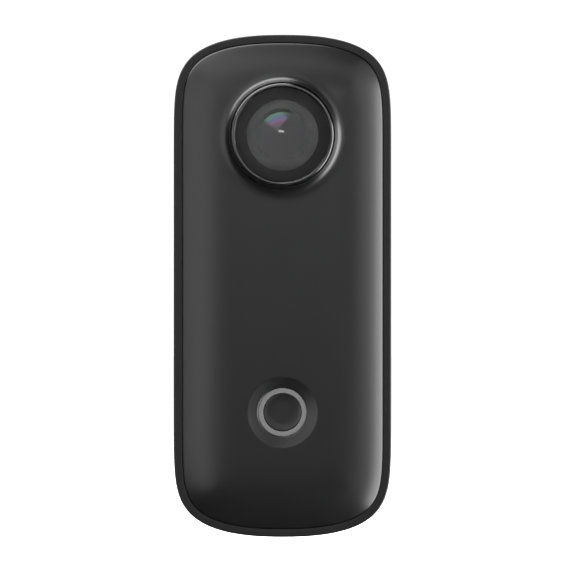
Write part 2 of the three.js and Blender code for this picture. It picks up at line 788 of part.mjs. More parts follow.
export default camera;
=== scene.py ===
"""A thumb-sized action camera: its outer pieces at full quality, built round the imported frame.

The frame stands upright: X runs across the camera, Z up it, and the lens looks along -Y.
Shapes are worked out as (x, height, depth), where depth is forward from the flat back face,
so a point lies at (x, -depth, height) in the frame.
"""

import json
import math

import bmesh
import bpy
from mathutils import Matrix, Vector, geometry, kdtree


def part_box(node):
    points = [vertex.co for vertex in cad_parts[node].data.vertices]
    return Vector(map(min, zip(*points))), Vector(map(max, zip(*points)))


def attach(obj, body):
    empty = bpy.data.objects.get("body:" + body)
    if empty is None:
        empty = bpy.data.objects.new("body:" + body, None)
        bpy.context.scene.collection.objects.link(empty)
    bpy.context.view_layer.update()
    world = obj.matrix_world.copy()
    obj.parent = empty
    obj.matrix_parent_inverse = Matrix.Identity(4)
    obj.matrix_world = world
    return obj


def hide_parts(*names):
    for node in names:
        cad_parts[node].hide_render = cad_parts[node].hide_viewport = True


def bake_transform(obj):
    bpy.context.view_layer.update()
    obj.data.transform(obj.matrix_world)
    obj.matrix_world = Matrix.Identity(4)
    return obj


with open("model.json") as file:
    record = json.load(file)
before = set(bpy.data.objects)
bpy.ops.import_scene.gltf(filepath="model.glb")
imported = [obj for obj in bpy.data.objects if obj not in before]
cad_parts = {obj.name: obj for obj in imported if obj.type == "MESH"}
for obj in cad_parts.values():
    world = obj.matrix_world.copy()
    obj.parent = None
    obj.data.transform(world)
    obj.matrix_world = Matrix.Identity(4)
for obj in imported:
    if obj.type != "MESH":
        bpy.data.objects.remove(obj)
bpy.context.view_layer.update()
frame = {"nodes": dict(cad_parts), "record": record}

MM = 0.001


def upright(x, height, depth):
    return Vector((x, -depth, height))


def depths(node):
    """The depths of a CAD node's back and front."""
    low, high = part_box(node)
    return -high.y, -low.y


def heights(node):
    low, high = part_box(node)
    return low.z, high.z


def half_width(node):
    low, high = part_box(node)
    return (high.x - low.x) / 2


def axis_height(node):
    return sum(heights(node)) / 2


def middle_of(node):
    """The middle of a node's box, as (x, height, depth)."""
    low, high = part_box(node)
    middle = (low + high) / 2
    return middle.x, middle.z, -middle.y


def size_of(node):
    """The size of a node's box, as (width, height, depth)."""
    low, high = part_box(node)
    return high.x - low.x, high.z - low.z, high.y - low.y


# ---- Sizes, from the frame and a few shapes that its boxes don't give ----
HALF_WIDTH = half_width("mid_frame")
HALF_HEIGHT = heights("mid_frame")[1]
FRAME_BACK, FRAME_FRONT = depths("mid_frame")
COVER_INSET = HALF_WIDTH - half_width("front_cover")
RIM = COVER_INSET - 0.05 * MM
FRAME_WALL = 1.9 * MM
SEAT = 1 * MM
GASKET = 0.3 * MM
CROWN_DROP = 1.5 * MM
CROWN_WIDTH = 9 * MM
CROWN_POWER = 3.4
REAR_CROWN_WIDTH = 3 * MM
REAR_CROWN_POWER = 2.4
DEEPEST_LOOP = 5.2 * MM  # further in, loops that follow the outline would cross at its corners
COVER_WALL = 1.2 * MM
FACE = FRAME_FRONT + CROWN_DROP
CEILING = FACE - COVER_WALL
FRONT_LEDGE = FRAME_FRONT - SEAT
BACK_LEDGE = FRAME_BACK + SEAT
COLLAR_TOP = depths("front_cover")[1]
LENS = (0, axis_height("lens_trim_ring"))
BUTTON = (0, axis_height("record_button"))

# The outline's ends are superellipses of this rise, as in the CAD.
END_RISE = 17.7 * MM
ACROSS_POWER = 2.37
ALONG_POWER = 6.5
OUTLINE_POINTS = 336
FINE = 128  # points round the lens and the button
ROUND = 64  # points round the sound hole


# ---- Outline of the body ----
def outline_normal(x, height):
    """Outward, at a point of the outline."""
    rise = abs(height) - (HALF_HEIGHT - END_RISE)
    if rise <= 0:
        return Vector((math.copysign(1, x), 0))
    across = ACROSS_POWER * (abs(x) / HALF_WIDTH) ** (ACROSS_POWER - 1) / HALF_WIDTH
    along = ALONG_POWER * (rise / END_RISE) ** (ALONG_POWER - 1) / END_RISE
    return Vector((math.copysign(across, x), math.copysign(along, height))).normalized()


def outline_points(count):
    """Points evenly spaced along the outline, anticlockwise from its right-hand middle."""
    fine = 600
    quarter = [Vector((HALF_WIDTH, 0))]
    for i in range(fine + 1):
        turn = i / fine * math.pi / 2
        across = max(math.cos(turn), 0) ** (2 / ACROSS_POWER)
        along = math.sin(turn) ** (2 / ALONG_POWER)
        quarter.append(Vector((HALF_WIDTH * across, HALF_HEIGHT - END_RISE + END_RISE * along)))
    travelled = [0.0]
    for a, b in zip(quarter, quarter[1:]):
        travelled.append(travelled[-1] + (b - a).length)
    share = count // 4
    spaced = []
    k = 0
    for i in range(share):
        wanted = travelled[-1] * i / share
        while travelled[k + 1] < wanted:
            k += 1
        part = (wanted - travelled[k]) / (travelled[k + 1] - travelled[k])
        spaced.append(quarter[k].lerp(quarter[k + 1], part))
    top = Vector((0, HALF_HEIGHT))
    left = [Vector((-p.x, p.y)) for p in [*spaced[1:], top]][::-1]
    upper = [*spaced, *left, Vector((-HALF_WIDTH, 0))]
    return [*upper, *[Vector((p.x, -p.y)) for p in upper[-2:0:-1]]]


OUTLINE = outline_points(OUTLINE_POINTS)
NORMALS = [outline_normal(*p) for p in OUTLINE]


def outline_loop(inset, depth):
    return [(*(p - n * inset), depth) for p, n in zip(OUTLINE, NORMALS)]


def circle_loop(centre, radius, depth, count):
    turns = [2 * math.pi * i / count for i in range(count)]
    return [
        (centre[0] + radius * math.cos(t), centre[1] + radius * math.sin(t), depth) for t in turns
    ]


class InsetFinder:
    """How far inside the outline a point lies."""

    def __init__(self):
        self.points = outline_points(4 * OUTLINE_POINTS)
        self.tree = kdtree.KDTree(len(self.points))
        for i, p in enumerate(self.points):
            self.tree.insert((p.x, p.y, 0), i)
        self.tree.balance()

    def __call__(self, x, height):
        _, i, _ = self.tree.find((x, height, 0))
        p = Vector((x, height))
        count = len(self.points)
        nearest = []
        for a, b in ((i - 1, i), (i, (i + 1) % count)):
            start, end = self.points[a], self.points[b]
            along = max(0, min(1, (p - start).dot(end - start) / (end - start).length_squared))
            nearest.append((p - start.lerp(end, along)).length)
        return min(nearest)


inset_at = InsetFinder()


def gentle_inset(x, height):
    """The inset, averaged over a circle that widens inward, so that the face has no creases."""
    start = 3.6 * MM
    growth = 0.55
    exact = inset_at(x, height)
    reach = growth * (exact - start)
    if reach <= 0:
        return exact
    around = [circle_loop((x, height), reach * part, 0, 10) for part in (0.5, 1)]
    samples = [inset_at(p[0], p[1]) for loop in around for p in loop]
    return (exact + sum(samples)) / (1 + len(samples))


# ---- Building meshes from closed loops ----
def corner_arc(before, corner, after, radius, steps):
    """The points that round a corner of a profile."""
    corner = Vector(corner)
    back = Vector(before) - corner
    ahead = Vector(after) - corner
    angle = back.angle(ahead)
    reach = min(radius / math.tan(angle / 2), back.length * 0.49, ahead.length * 0.49)
    start = corner + back.normalized() * reach
    end = corner + ahead.normalized() * reach
    bisector = (back.normalized() + ahead.normalized()).normalized()
    centre = corner + bisector * (reach / math.cos(angle / 2))
    points = []
    for i in range(steps + 1):
        direction = (start - centre).lerp(end - centre, i / steps)
        points.append(tuple(centre + direction.normalized() * (start - centre).length))
    return points


def rounded(profile, steps=4):
    """A closed profile of (offset, depth, radius) corners, with each corner rounded."""
    points = []
    count = len(profile)
    for i, (offset, depth, radius) in enumerate(profile):
        if radius == 0:
            points.append((offset, depth))
            continue
        before = profile[i - 1][:2]
        after = profile[(i + 1) % count][:2]
        points += corner_arc(before, (offset, depth), after, radius, steps)
    return points


class Solid:
    """Gathers loops of (x, height, depth) points into one closed mesh."""

    def __init__(self):
        self.vertices = []
        self.faces = []

    def points(self, loop):
        first = len(self.vertices)
        self.vertices += [upright(*p) for p in loop]
        return list(range(first, len(self.vertices)))

    def strip(self, *loops):
        """Quads from each loop to the next."""
        rows = [self.points(loop) for loop in loops]
        for a, b in zip(rows, rows[1:]):
            count = len(a)
            for i in range(count):
                j = (i + 1) % count
                self.faces.append((a[i], a[j], b[j], b[i]))
        return self

    def ring(self, *loops):
        return self.strip(*loops, loops[0])

    def cap(self, loop):
        self.faces.append(tuple(self.points(loop)))
        return self

    def fill(self, outer, holes, inner_points, depth_at):
        """Triangles between an outer loop and its round holes, each point at its own depth."""
        flat = []
        edges = []
        for loop in (outer, *holes):
            first = len(flat)
            count = len(loop)
            flat += [Vector(p[:2]) for p in loop]
            edges += [(first + i, first + (i + 1) % count) for i in range(count)]
        flat += [Vector(p) for p in inner_points]
        inside_outline = 1
        tolerance = 1e-7
        made = geometry.delaunay_2d_cdt(flat, edges, [], inside_outline, tolerance)
        circles = []
        for hole in holes:
            centre = sum((Vector(p[:2]) for p in hole), Vector((0, 0))) / len(hole)
            circles.append((centre, (Vector(hole[0][:2]) - centre).length))
        first = len(self.vertices)
        self.vertices += [upright(p.x, p.y, depth_at(p.x, p.y)) for p in made[0]]
        for face in made[2]:
            middle = sum((made[0][i] for i in face), Vector((0, 0))) / len(face)
            if all((middle - centre).length > radius for centre, radius in circles):
                self.faces.append(tuple(first + i for i in face))
        return self

    def piece(self, name, sharp=35):
        """The closed mesh as an object, with smooth shading between its sharp edges."""
        bm = bmesh.new()
        vertices = [bm.verts.new(v) for v in self.vertices]
        for face in self.faces:
            bm.faces.new([vertices[i] for i in face])
        bmesh.ops.remove_doubles(bm, verts=bm.verts, dist=0.0004 * MM)
        bmesh.ops.recalc_face_normals(bm, faces=bm.faces)
        data = bpy.data.meshes.new(name)
        bm.to_mesh(data)
        bm.free()
        return shade(add_object(name, data), sharp)


def turned(name, centre, profile):
    """A piece turned about a forward axis, from a closed (radius, depth, rounding) profile."""
    solid = Solid()
    loops = [circle_loop(centre, r, d, FINE) for r, d in rounded(profile) if r > 0]
    if profile[0][0] == 0:
        return solid.cap(loops[0]).strip(*loops).cap(loops[-1]).piece(name)
    return solid.ring(*loops).piece(name)


def swept(profile, steps):
    """A ring that follows the outline, from a closed (inset, depth, rounding) profile."""
    return Solid().ring(*[outline_loop(inset, depth) for inset, depth in rounded(profile, steps)])


def rounded_rectangle(width, height, radius):
    """Points about the origin, anticlockwise."""
    steps = 8
    points = []
    for quarter, (right, up) in enumerate(((1, 1), (-1, 1), (-1, -1), (1, -1))):
        for i in range(steps + 1):
            turn = (quarter + i / steps) * math.pi / 2
            x = right * (width / 2 - radius) + radius * math.cos(turn)
            y = up * (height / 2 - radius) + radius * math.sin(turn)
            points.append((x, y))
    return points


def standing(sections):
    """A solid whose sections lie across the height: (height, width, depth, radius, middle)."""
    loops = []
    for height, width, depth, radius, (x, middle) in sections:
        shape = rounded_rectangle(width, depth, radius)
        loops.append([(x + a, height, middle + b) for a, b in shape])
    return Solid().cap(loops[0]).strip(*loops).cap(loops[-1])


def sideways(sections):
    """A solid whose sections lie across x: (x, length, depth, radius, middle)."""
    loops = []
    for x, length, depth, radius, (height, middle) in sections:
        shape = rounded_rectangle(length, depth, radius)
        loops.append([(x, height + a, middle + b) for a, b in shape])
    return Solid().cap(loops[0]).strip(*loops).cap(loops[-1])


def upright_disc(radius, bottom, top, x, middle):
    """A disc about an axis that runs up the camera."""
    loops = []
    for height in (bottom, top):
        flat = circle_loop((x, middle), radius, height, ROUND)
        loops.append([(a, c, b) for a, b, c in flat])
    return Solid().cap(loops[0]).strip(*loops).cap(loops[-1])


def boss(radius, bore, back, front, x, height):
    """A screw boss or a magnet's pocket: a ring that stands forward."""
    profile = [(bore, back), (radius, back), (radius, front), (bore, front)]
    return Solid().ring(*[circle_loop((x, height), r, d, 24) for r, d in profile])


def add_object(name, mesh):
    obj = bpy.data.objects.new(name, mesh)
    bpy.context.scene.collection.objects.link(obj)
    return obj


def applied(obj):
    """The object with its modifiers made part of its mesh."""
    bpy.context.view_layer.update()
    evaluated = obj.evaluated_get(bpy.context.evaluated_depsgraph_get())
    mesh = bpy.data.meshes.new_from_object(evaluated)
    obj.modifiers.clear()
    obj.data = mesh
    return obj


def shade(obj, sharp=35):
    """Smooth shading that keeps flat faces flat and edges above an angle sharp."""
    obj.data.shade_smooth()
    obj.data.set_sharp_from_angle(angle=math.radians(sharp))
    modifier = obj.modifiers.new("normals", "WEIGHTED_NORMAL")
    modifier.keep_sharp = True
    return applied(obj)


def carve(obj, solid, operation="DIFFERENCE"):
    """Cuts a solid out of an object, joins it on, or keeps only what they share."""
    tool = solid.piece("tool")
    modifier = obj.modifiers.new("carve", "BOOLEAN")
    modifier.object = tool
    modifier.operation = operation
    modifier.solver = "EXACT"
    applied(obj)
    bpy.data.objects.remove(tool)
    return obj


def soften_edges(obj, width):
    """Rounds the object's sharp edges."""
    modifier = obj.modifiers.new("soften", "BEVEL")
    modifier.width = width
    modifier.segments = 2
    modifier.limit_method = "ANGLE"
    modifier.angle_limit = math.radians(50)
    modifier.use_clamp_overlap = True
    modifier.miter_outer = "MITER_ARC"
    return shade(applied(obj))


# ---- Materials ----
def new_node(tree, kind, **inputs):
    made = tree.nodes.new(kind)
    for key, value in inputs.items():
        made.inputs[key.replace("_", " ")].default_value = value
    return made


def noise(tree, scale, detail=3):
    """Noise whose scale is in features per metre, fixed to the object."""
    texture = new_node(tree, "ShaderNodeTexNoise", Scale=scale, Detail=detail)
    position = tree.nodes.new("ShaderNodeTexCoord")
    tree.links.new(position.outputs["Object"], texture.inputs["Vector"])
    return texture.outputs["Fac"]


def remapped(tree, value, low, high):
    span = new_node(tree, "ShaderNodeMapRange", To_Min=low, To_Max=high)
    tree.links.new(value, span.inputs["Value"])
    return span.outputs["Result"]


def new_material(
    name, color, roughness, metallic=0.0, grain=9000, bump=0.15, mottle=0.12, **sockets
):
    """A principled surface with fine grain, uneven roughness and slight colour mottling."""
    made = bpy.data.materials.new(name)
    made.use_nodes = True
    tree = made.node_tree
    shader = tree.nodes["Principled BSDF"]
    shader.inputs["Metallic"].default_value = metallic
    for key, value in sockets.items():
        shader.inputs[key.replace("_", " ")].default_value = value
    broad = noise(tree, 420)
    blend = new_node(tree, "ShaderNodeMix")
    blend.data_type = "RGBA"
    blend.inputs["A"].default_value = (*[c * (1 - mottle) for c in color], 1)
    blend.inputs["B"].default_value = (*[c * (1 + mottle) for c in color], 1)
    tree.links.new(broad, blend.inputs["Factor"])
    tree.links.new(blend.outputs["Result"], shader.inputs["Base Color"])
    uneven = remapped(tree, noise(tree, 1700), roughness * 0.9, roughness * 1.1)
    tree.links.new(uneven, shader.inputs["Roughness"])
    relief = new_node(tree, "ShaderNodeBump", Strength=bump, Distance=0.02 * MM)
    tree.links.new(noise(tree, grain), relief.inputs["Height"])
    tree.links.new(relief.outputs["Normal"], shader.inputs["Normal"])
    return made


SATIN = new_material("satin_shell", (0.0025, 0.0025, 0.0026), 0.31)
FRAME_SATIN = new_material(
    "satin_frame", (0.003, 0.003, 0.0031), 0.4, Specular_IOR_Level=0.29
)
GLOSS_BLACK = new_material(
    "gloss_black", (0.004, 0.004, 0.004), 0.16, bump=0.02, Specular_IOR_Level=0.9
)
CAP = new_material("button_cap", (0.0025, 0.0025, 0.0026), 0.33)
RUBBER = new_material("silicone_rubber", (0.012, 0.012, 0.012), 0.62, grain=5000, bump=0.3)
LIGHT_GUIDE = new_material("light_guide", (0.055, 0.055, 0.055), 0.4, bump=0.05, mottle=0.03)
INK = new_material("printed_ink", (0.014, 0.014, 0.014), 0.8, Specular_IOR_Level=0)
BLACK_PLASTIC = new_material("black_nylon", (0.01, 0.01, 0.01), 0.5, bump=0.3)
BOARD = new_material("solder_mask", (0.01, 0.07, 0.03), 0.35)
SOUND_MESH = new_material(
    "acoustic_mesh", (0.01, 0.01, 0.01), 0.9, grain=12000, bump=1.0, Specular_IOR_Level=0.1
)
CHIP = new_material("chip_package", (0.015, 0.015, 0.016), 0.55, bump=0.3)
STEEL = new_material("stainless_steel", (0.55, 0.56, 0.57), 0.3, 1.0)
NICKEL = new_material("nickel_plate", (0.62, 0.6, 0.57), 0.2, 1.0)
FOIL = new_material("pouch_foil", (0.5, 0.51, 0.53), 0.35, 0.9, grain=2500, bump=0.4)
FOAM = new_material("foam_pad", (0.02, 0.02, 0.022), 0.95, grain=3500, bump=1.0)
FILM = new_material("polyimide_film", (0.36, 0.13, 0.02), 0.35)
CERAMIC = new_material("ceramic", (0.7, 0.68, 0.6), 0.5)
RED_WIRE = new_material("red_insulation", (0.35, 0.01, 0.01), 0.45)
WHITE_PLASTIC = new_material("white_nylon", (0.7, 0.68, 0.6), 0.5)
LED = new_material("led_phosphor", (0.8, 0.72, 0.4), 0.4)


def math_node(tree, operation, first, second=None):
    """The result of an operation on sockets or numbers."""
    made = tree.nodes.new("ShaderNodeMath")
    made.operation = operation
    for socket, value in zip(made.inputs, (first, second)):
        if value is None:
            continue
        if isinstance(value, (int, float)):
            socket.default_value = value
        else:
            tree.links.new(value, socket)
    return made.outputs["Value"]


def polar_place(tree, centre):
    """A point's distance from a forward axis and its angle round it in turns, on the object."""
    position = tree.nodes.new("ShaderNodeTexCoord")
    parts = tree.nodes.new("ShaderNodeSeparateXYZ")
    tree.links.new(position.outputs["Object"], parts.inputs["Vector"])
    across = math_node(tree, "SUBTRACT", parts.outputs["X"], centre[0])
    up = math_node(tree, "SUBTRACT", parts.outputs["Z"], centre[1])
    squares = [math_node(tree, "POWER", part, 2) for part in (across, up)]
    from_axis = math_node(tree, "SQRT", math_node(tree, "ADD", *squares))
    turn = math_node(tree, "DIVIDE", math_node(tree, "ARCTAN2", up, across), 2 * math.pi)
    return from_axis, turn


def glass_material(name, tint):
    """Clear glass with a very faint haze."""
    haze = 0.01
    made = bpy.data.materials.new(name)
    made.use_nodes = True
    tree = made.node_tree
    shader = tree.nodes["Principled BSDF"]
    shader.inputs["Base Color"].default_value = (*tint, 1)
    shader.inputs["Transmission Weight"].default_value = 1
    shader.inputs["IOR"].default_value = 1.5
    tree.links.new(remapped(tree, noise(tree, 900), 0, haze), shader.inputs["Roughness"])
    return made


def smoked_glass(name, color, cover, index, roughness=0.03, level=0.5):
    """Dark glass: light passes straight through it where its colour doesn't cover."""
    made = bpy.data.materials.new(name)
    made.use_nodes = True
    tree = made.node_tree
    shader = tree.nodes["Principled BSDF"]
    shader.inputs["Base Color"].default_value = (*color, 1)
    shader.inputs["Alpha"].default_value = cover
    shader.inputs["IOR"].default_value = index
    shader.inputs["Specular IOR Level"].default_value = level
    uneven = remapped(tree, noise(tree, 900), roughness * 0.8, roughness)
    tree.links.new(uneven, shader.inputs["Roughness"])
    relief = new_node(tree, "ShaderNodeBump", Strength=0.01, Distance=0.01 * MM)
    tree.links.new(noise(tree, 300), relief.inputs["Height"])
    tree.links.new(relief.outputs["Normal"], shader.inputs["Normal"])
    return made


def radial_ramp(tree, share, colors):
    """A colour that changes along a share from 0 to 1, through (share, colour) stops."""
    ramp = tree.nodes.new("ShaderNodeValToRGB")
    stops = ramp.color_ramp.elements
    for position, _ in colors[2:]:
        stops.new(position)
    for stop, (position, color) in zip(stops, colors):
        stop.position = position
        stop.color = (*color, 1)
    tree.links.new(share, ramp.inputs["Fac"])
    return ramp.outputs["Color"]


def paint_scatter_glow(made, centre, radius, greys):
    """Painted light: a grey in the glass's colour that stands in for light scattered in the lens,
    made stronger outward to brighten the rim, which lies in shade.
    """
    tree = made.node_tree
    from_axis, _ = polar_place(tree, centre)
    share = math_node(tree, "DIVIDE", from_axis, radius)
    painted_glow = radial_ramp(tree, share, [(stop, (grey, grey, grey)) for stop, grey in greys])
    tree.links.new(painted_glow, tree.nodes["Principled BSDF"].inputs["Base Color"])


def paint_reflection_bands(made, centre, radius, colors, facing, spread, elsewhere):
    """Paints coloured bands into a glass's specular tint: painted reflections that stand in for
    those off the lenses inside.

    Their colour changes from the axis outward, and they are strongest in one sector and faint
    elsewhere; the sector faces an angle and spreads to both sides of it; both are in turns.
    """
    tree = made.node_tree
    from_axis, turn = polar_place(tree, centre)
    share = math_node(tree, "DIVIDE", from_axis, radius)
    band_colour = radial_ramp(tree, share, colors)
    off = math_node(tree, "ABSOLUTE", math_node(tree, "SUBTRACT", turn, facing))
    sector = tree.nodes.new("ShaderNodeMapRange")
    sector.interpolation_type = "SMOOTHSTEP"
    sector.inputs["From Min"].default_value = spread
    sector.inputs["From Max"].default_value = 1.6 * spread
    sector.inputs["To Min"].default_value = 1
    sector.inputs["To Max"].default_value = elsewhere
    tree.links.new(off, sector.inputs["Value"])
    scale = tree.nodes.new("ShaderNodeVectorMath")
    scale.operation = "SCALE"
    tree.links.new(band_colour, scale.inputs["Vector"])
    tree.links.new(sector.outputs["Result"], scale.inputs["Scale"])
    shader = tree.nodes["Principled BSDF"]
    tree.links.new(scale.outputs["Vector"], shader.inputs["Specular Tint"])


WINDOW_GLASS = smoked_glass("window_glass", (0.0, 0.0, 0.0), 0.15, 2.4)
OPTIC_GLASS = glass_material("optic_glass", (0.9, 0.93, 0.95))
FRONT_GLASS = smoked_glass("front_element_glass", (0.05, 0.05, 0.05), 0.8, 2.2, 0.06, 1)
# The front element's grey is painted light: it stands in for scattered light and is brighter
# toward the shaded rim.
paint_scatter_glow(
    FRONT_GLASS, LENS, 5 * MM,
    [(0, 0.047), (0.45, 0.053), (0.6, 0.077), (0.72, 0.13), (0.87, 0.2)],
)
FILTER_GLASS = glass_material("filter_glass", (0.75, 0.85, 0.95))
# The front element's coloured bands are painted reflections, fixed to one sector of the glass.
paint_reflection_bands(
    FRONT_GLASS, LENS, 5 * MM,
    [
        (0.0, (1, 1, 1)),
        (0.2, (0.5, 0.5, 0.55)),
        (0.33, (0.9, 0.4, 0.8)),
        (0.44, (0.45, 0.45, 0.95)),
        (0.52, (0.35, 0.85, 0.7)),
        (0.6, (0.4, 0.95, 0.5)),
        (0.68, (0.1, 0.25, 0.12)),
    ],
    facing=0.295, spread=0.075, elsewhere=0.06,
)


def place(obj, body, material, slot, *nodes):
    """Gives a finished piece its material and its body, and hides the CAD nodes it stands for."""
    obj.data.materials.clear()
    obj.data.materials.append(material)
    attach(obj, body)
    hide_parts(*nodes)
    return obj


# ---- Housing ----
EDGE = 0.2 * MM  # radius of the frame's outer edges
NICK = 0.08 * MM  # radius of its edges next to the covers

# What the frame has cut into it and joined onto its inside.
CLEAR = 0.08 * MM
DOOR_LOW, DOOR_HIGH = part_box("port_door")
DOOR_BACK, DOOR_FRONT = depths("port_door")
DOOR_INNER = DOOR_HIGH.z
DOOR_WIDTH = DOOR_HIGH.x - DOOR_LOW.x
DOOR_CORNER = 1.2 * MM
DOOR_SWING_ROOM = 0.1 * MM
WALL_BOTTOM = -29.2 * MM
WALL_TOP = -27.9 * MM
WALL_DEPTHS = (3 * MM, 10.2 * MM)
RECESS_FLOOR = heights("port_door_seal")[1] + 0.05 * MM
CARD_SLOT = (11.6 * MM, 1.1 * MM, 4.45 * MM)  # width, depth and the middle's depth
MODE_CAP = (7 * MM, 2.6 * MM)
SOUND_HOLE = 0.5 * MM
BOARD_BOSSES = [(x * 9.9 * MM, height * MM) for height in (22, -18.5) for x in (-1, 1)]
BOARD_BOSS = (1.6 * MM, 0.65 * MM, 6.05 * MM, 9.8 * MM)  # radius, bore, back and front
MAGNET_POCKET = (5.7 * MM, 5.05 * MM, COVER_WALL - 0.1 * MM, 2.9 * MM)  # as BOARD_BOSS
OUTSIDE = -HALF_HEIGHT - 1.3 * MM


def straight(bottom, top, width, depth, radius, middle):
    """A solid with one rounded section from its bottom to its top."""
    return standing([(h, width, depth, radius, (0, middle)) for h in (bottom, top)])


def strap_solid(gap):
    """The strap's space with a gap round it, down past the skin."""
    width, height, depth = size_of("port_door_strap")
    middle = middle_of("port_door_strap")[2]
    top = heights("port_door_strap")[1] + gap
    corner = 0.06 * MM
    return straight(OUTSIDE, top, width + 2 * gap, depth + 2 * gap, corner, middle)


def door_opening():
    front = DOOR_FRONT + CLEAR + DOOR_SWING_ROOM
    back = DOOR_BACK - CLEAR
    width = DOOR_WIDTH + 2 * CLEAR
    top = DOOR_INNER + 0.05 * MM
    return straight(OUTSIDE, top, width, front - back, 1.3 * MM, (front + back) / 2)


def seal_recess():
    width, _, depth = size_of("port_door_seal")
    low = DOOR_INNER - 0.2 * MM
    middle = middle_of("port_door_seal")[2] + 0.05 * MM
    return straight(low, RECESS_FLOOR, width + 0.2 * MM, depth + 0.3 * MM, 1 * MM, middle)


def usb_slot():
    width, _, depth = size_of("usb_socket_shell")
    middle = middle_of("usb_socket_shell")[2]
    depth += 2 * CLEAR
    low = WALL_BOTTOM - CLEAR
    high = WALL_TOP + CLEAR
    return straight(low, high, width + 2 * CLEAR, depth, 0.49 * depth, middle)


def card_slot():
    width, depth, middle = CARD_SLOT
    return straight(WALL_BOTTOM - CLEAR, WALL_TOP + CLEAR, width, depth, 0.3 * MM, middle)


def mode_hole():
    _, height, depth = middle_of("mode_button")
    length, thickness = MODE_CAP
    length += 2 * CLEAR
    thickness += 2 * CLEAR
    ends = (HALF_WIDTH - 3.3 * MM, HALF_WIDTH + 1 * MM)
    return sideways([(x, length, thickness, 0.499 * thickness, (height, depth)) for x in ends])


def port_wall():
    """The wall inside the bottom end, which the sockets stand behind."""
    back, front = WALL_DEPTHS
    width = 15.2 * MM
    corner = 0.4 * MM
    return straight(WALL_BOTTOM, WALL_TOP, width, front - back, corner, (back + front) / 2)


def make_frame():
    profile = [
        (0, FRAME_BACK, EDGE),
        (0, FRAME_FRONT, EDGE),
        (RIM, FRAME_FRONT, NICK),
        (RIM, FRONT_LEDGE, 0),
        (FRAME_WALL, FRONT_LEDGE, 0),
        (FRAME_WALL, BACK_LEDGE, 0),
        (RIM, BACK_LEDGE, 0),
        (RIM, FRAME_BACK, NICK),
    ]
    obj = swept(profile, 5).piece("mid_frame_shell")
    carve(obj, port_wall(), "UNION")
    for x, height in BOARD_BOSSES:
        carve(obj, boss(*BOARD_BOSS, x, height), "UNION")
    for cut in (door_opening(), seal_recess(), usb_slot(), card_slot(), strap_solid(0.05 * MM)):
        carve(obj, cut)
    carve(obj, mode_hole())
    x, mesh_height, depth = middle_of("microphone_mesh")
    carve(obj, upright_disc(SOUND_HOLE, HALF_HEIGHT - 3 * MM, HALF_HEIGHT + 1 * MM, x, depth))
    seat = size_of("microphone_mesh")[2] / 2 + 0.1 * MM
    carve(obj, upright_disc(seat, HALF_HEIGHT - 3 * MM, mesh_height + 0.15 * MM, x, depth))
    return shade(obj)


def crown_depth(inset):
    """The front face's depth, from its flat middle to its rounded margin."""
    share = max(0, 1 - (inset - COVER_INSET) / CROWN_WIDTH)
    return FACE - CROWN_DROP * share**CROWN_POWER


def face_depth(x, height):
    return crown_depth(gentle_inset(x, height))


# The flare round the lens: a hollow curve that steepens from its foot up to the crest.
COLLAR_FOOT = 8.8 * MM
COLLAR_CREST = 6.42 * MM
COLLAR_BORE = 6.38 * MM
COLLAR_POWERS = (5.5, 4)
COLLAR_STEEPEST = 0.985
COLLAR_MARGIN = 9.0 * MM

# The dish round the record button, and the hole for its light ring.
DISH = 4.3 * MM
DISH_DEPTH = 0.6 * MM
DISH_LIP = 0.12 * MM
DISH_MARGIN = 4.9 * MM
BUTTON_HOLE = 3 * MM
BUTTON_BOSS_X = 6 * MM
BUTTON_BOSS = (1.5 * MM, 0.55 * MM, 9.05 * MM, CEILING + 0.3 * MM)  # as BOARD_BOSS


def collar_rings():
    """Loops from the margin, up the flare, over the crest and down the bore."""
    steps = 22
    width = COLLAR_FOOT - COLLAR_CREST
    rise = COLLAR_TOP - FACE
    inner, outer = COLLAR_POWERS

    def climb(share):
        return 1 - (1 - share**inner) ** (1 / outer)

    flare = [(COLLAR_MARGIN, 0), ((COLLAR_MARGIN + COLLAR_FOOT) / 2, 0)]
    for i in range(steps + 1):
        share = COLLAR_STEEPEST * math.sin(i / steps * math.pi / 2)
        height = 0.93 * rise * climb(share) / climb(COLLAR_STEEPEST)
        flare.append((COLLAR_FOOT - width * share, height))
    loops = []
    for radius, height in flare:
        loop = circle_loop(LENS, radius, 0, FINE)
        loops.append([(x, h, face_depth(x, h) + height) for x, h, _ in loop])
    edge = (flare[-1][0], COLLAR_TOP)
    lip = (COLLAR_BORE, COLLAR_TOP)
    crest = corner_arc((edge[0], FACE), edge, lip, 0.08 * MM, 4)
    crest += corner_arc(edge, lip, (COLLAR_BORE, CEILING), 0.05 * MM, 3)
    loops += [circle_loop(LENS, r, d, FINE) for r, d in crest]
    return [*loops, circle_loop(LENS, COLLAR_BORE, CEILING, FINE)]


def dish_rings():
    """Loops from the margin, over the dish's lip, down the dish and through the button hole."""
    sphere = DISH**2 / (2 * DISH_DEPTH) + DISH_DEPTH / 2
    hole = BUTTON_HOLE
    hole_edge = 0.02 * MM

    def bowl(radius):
        return FACE - DISH_DEPTH + sphere - math.sqrt(sphere**2 - radius**2)

    profile = [(DISH_MARGIN, FACE), ((DISH_MARGIN + DISH) / 2, FACE)]
    inner = DISH - 3 * DISH_LIP
    profile += corner_arc((DISH_MARGIN, FACE), (DISH, FACE), (inner, bowl(inner)), 4 * DISH_LIP, 4)
    steps = 6
    for i in range(steps + 1):
        radius = inner + (hole + hole_edge - inner) * i / steps
        profile.append((radius, bowl(radius)))
    profile += [(hole, bowl(hole) - hole_edge), (hole, CEILING)]
    return [circle_loop(BUTTON, r, d, FINE) for r, d in profile]


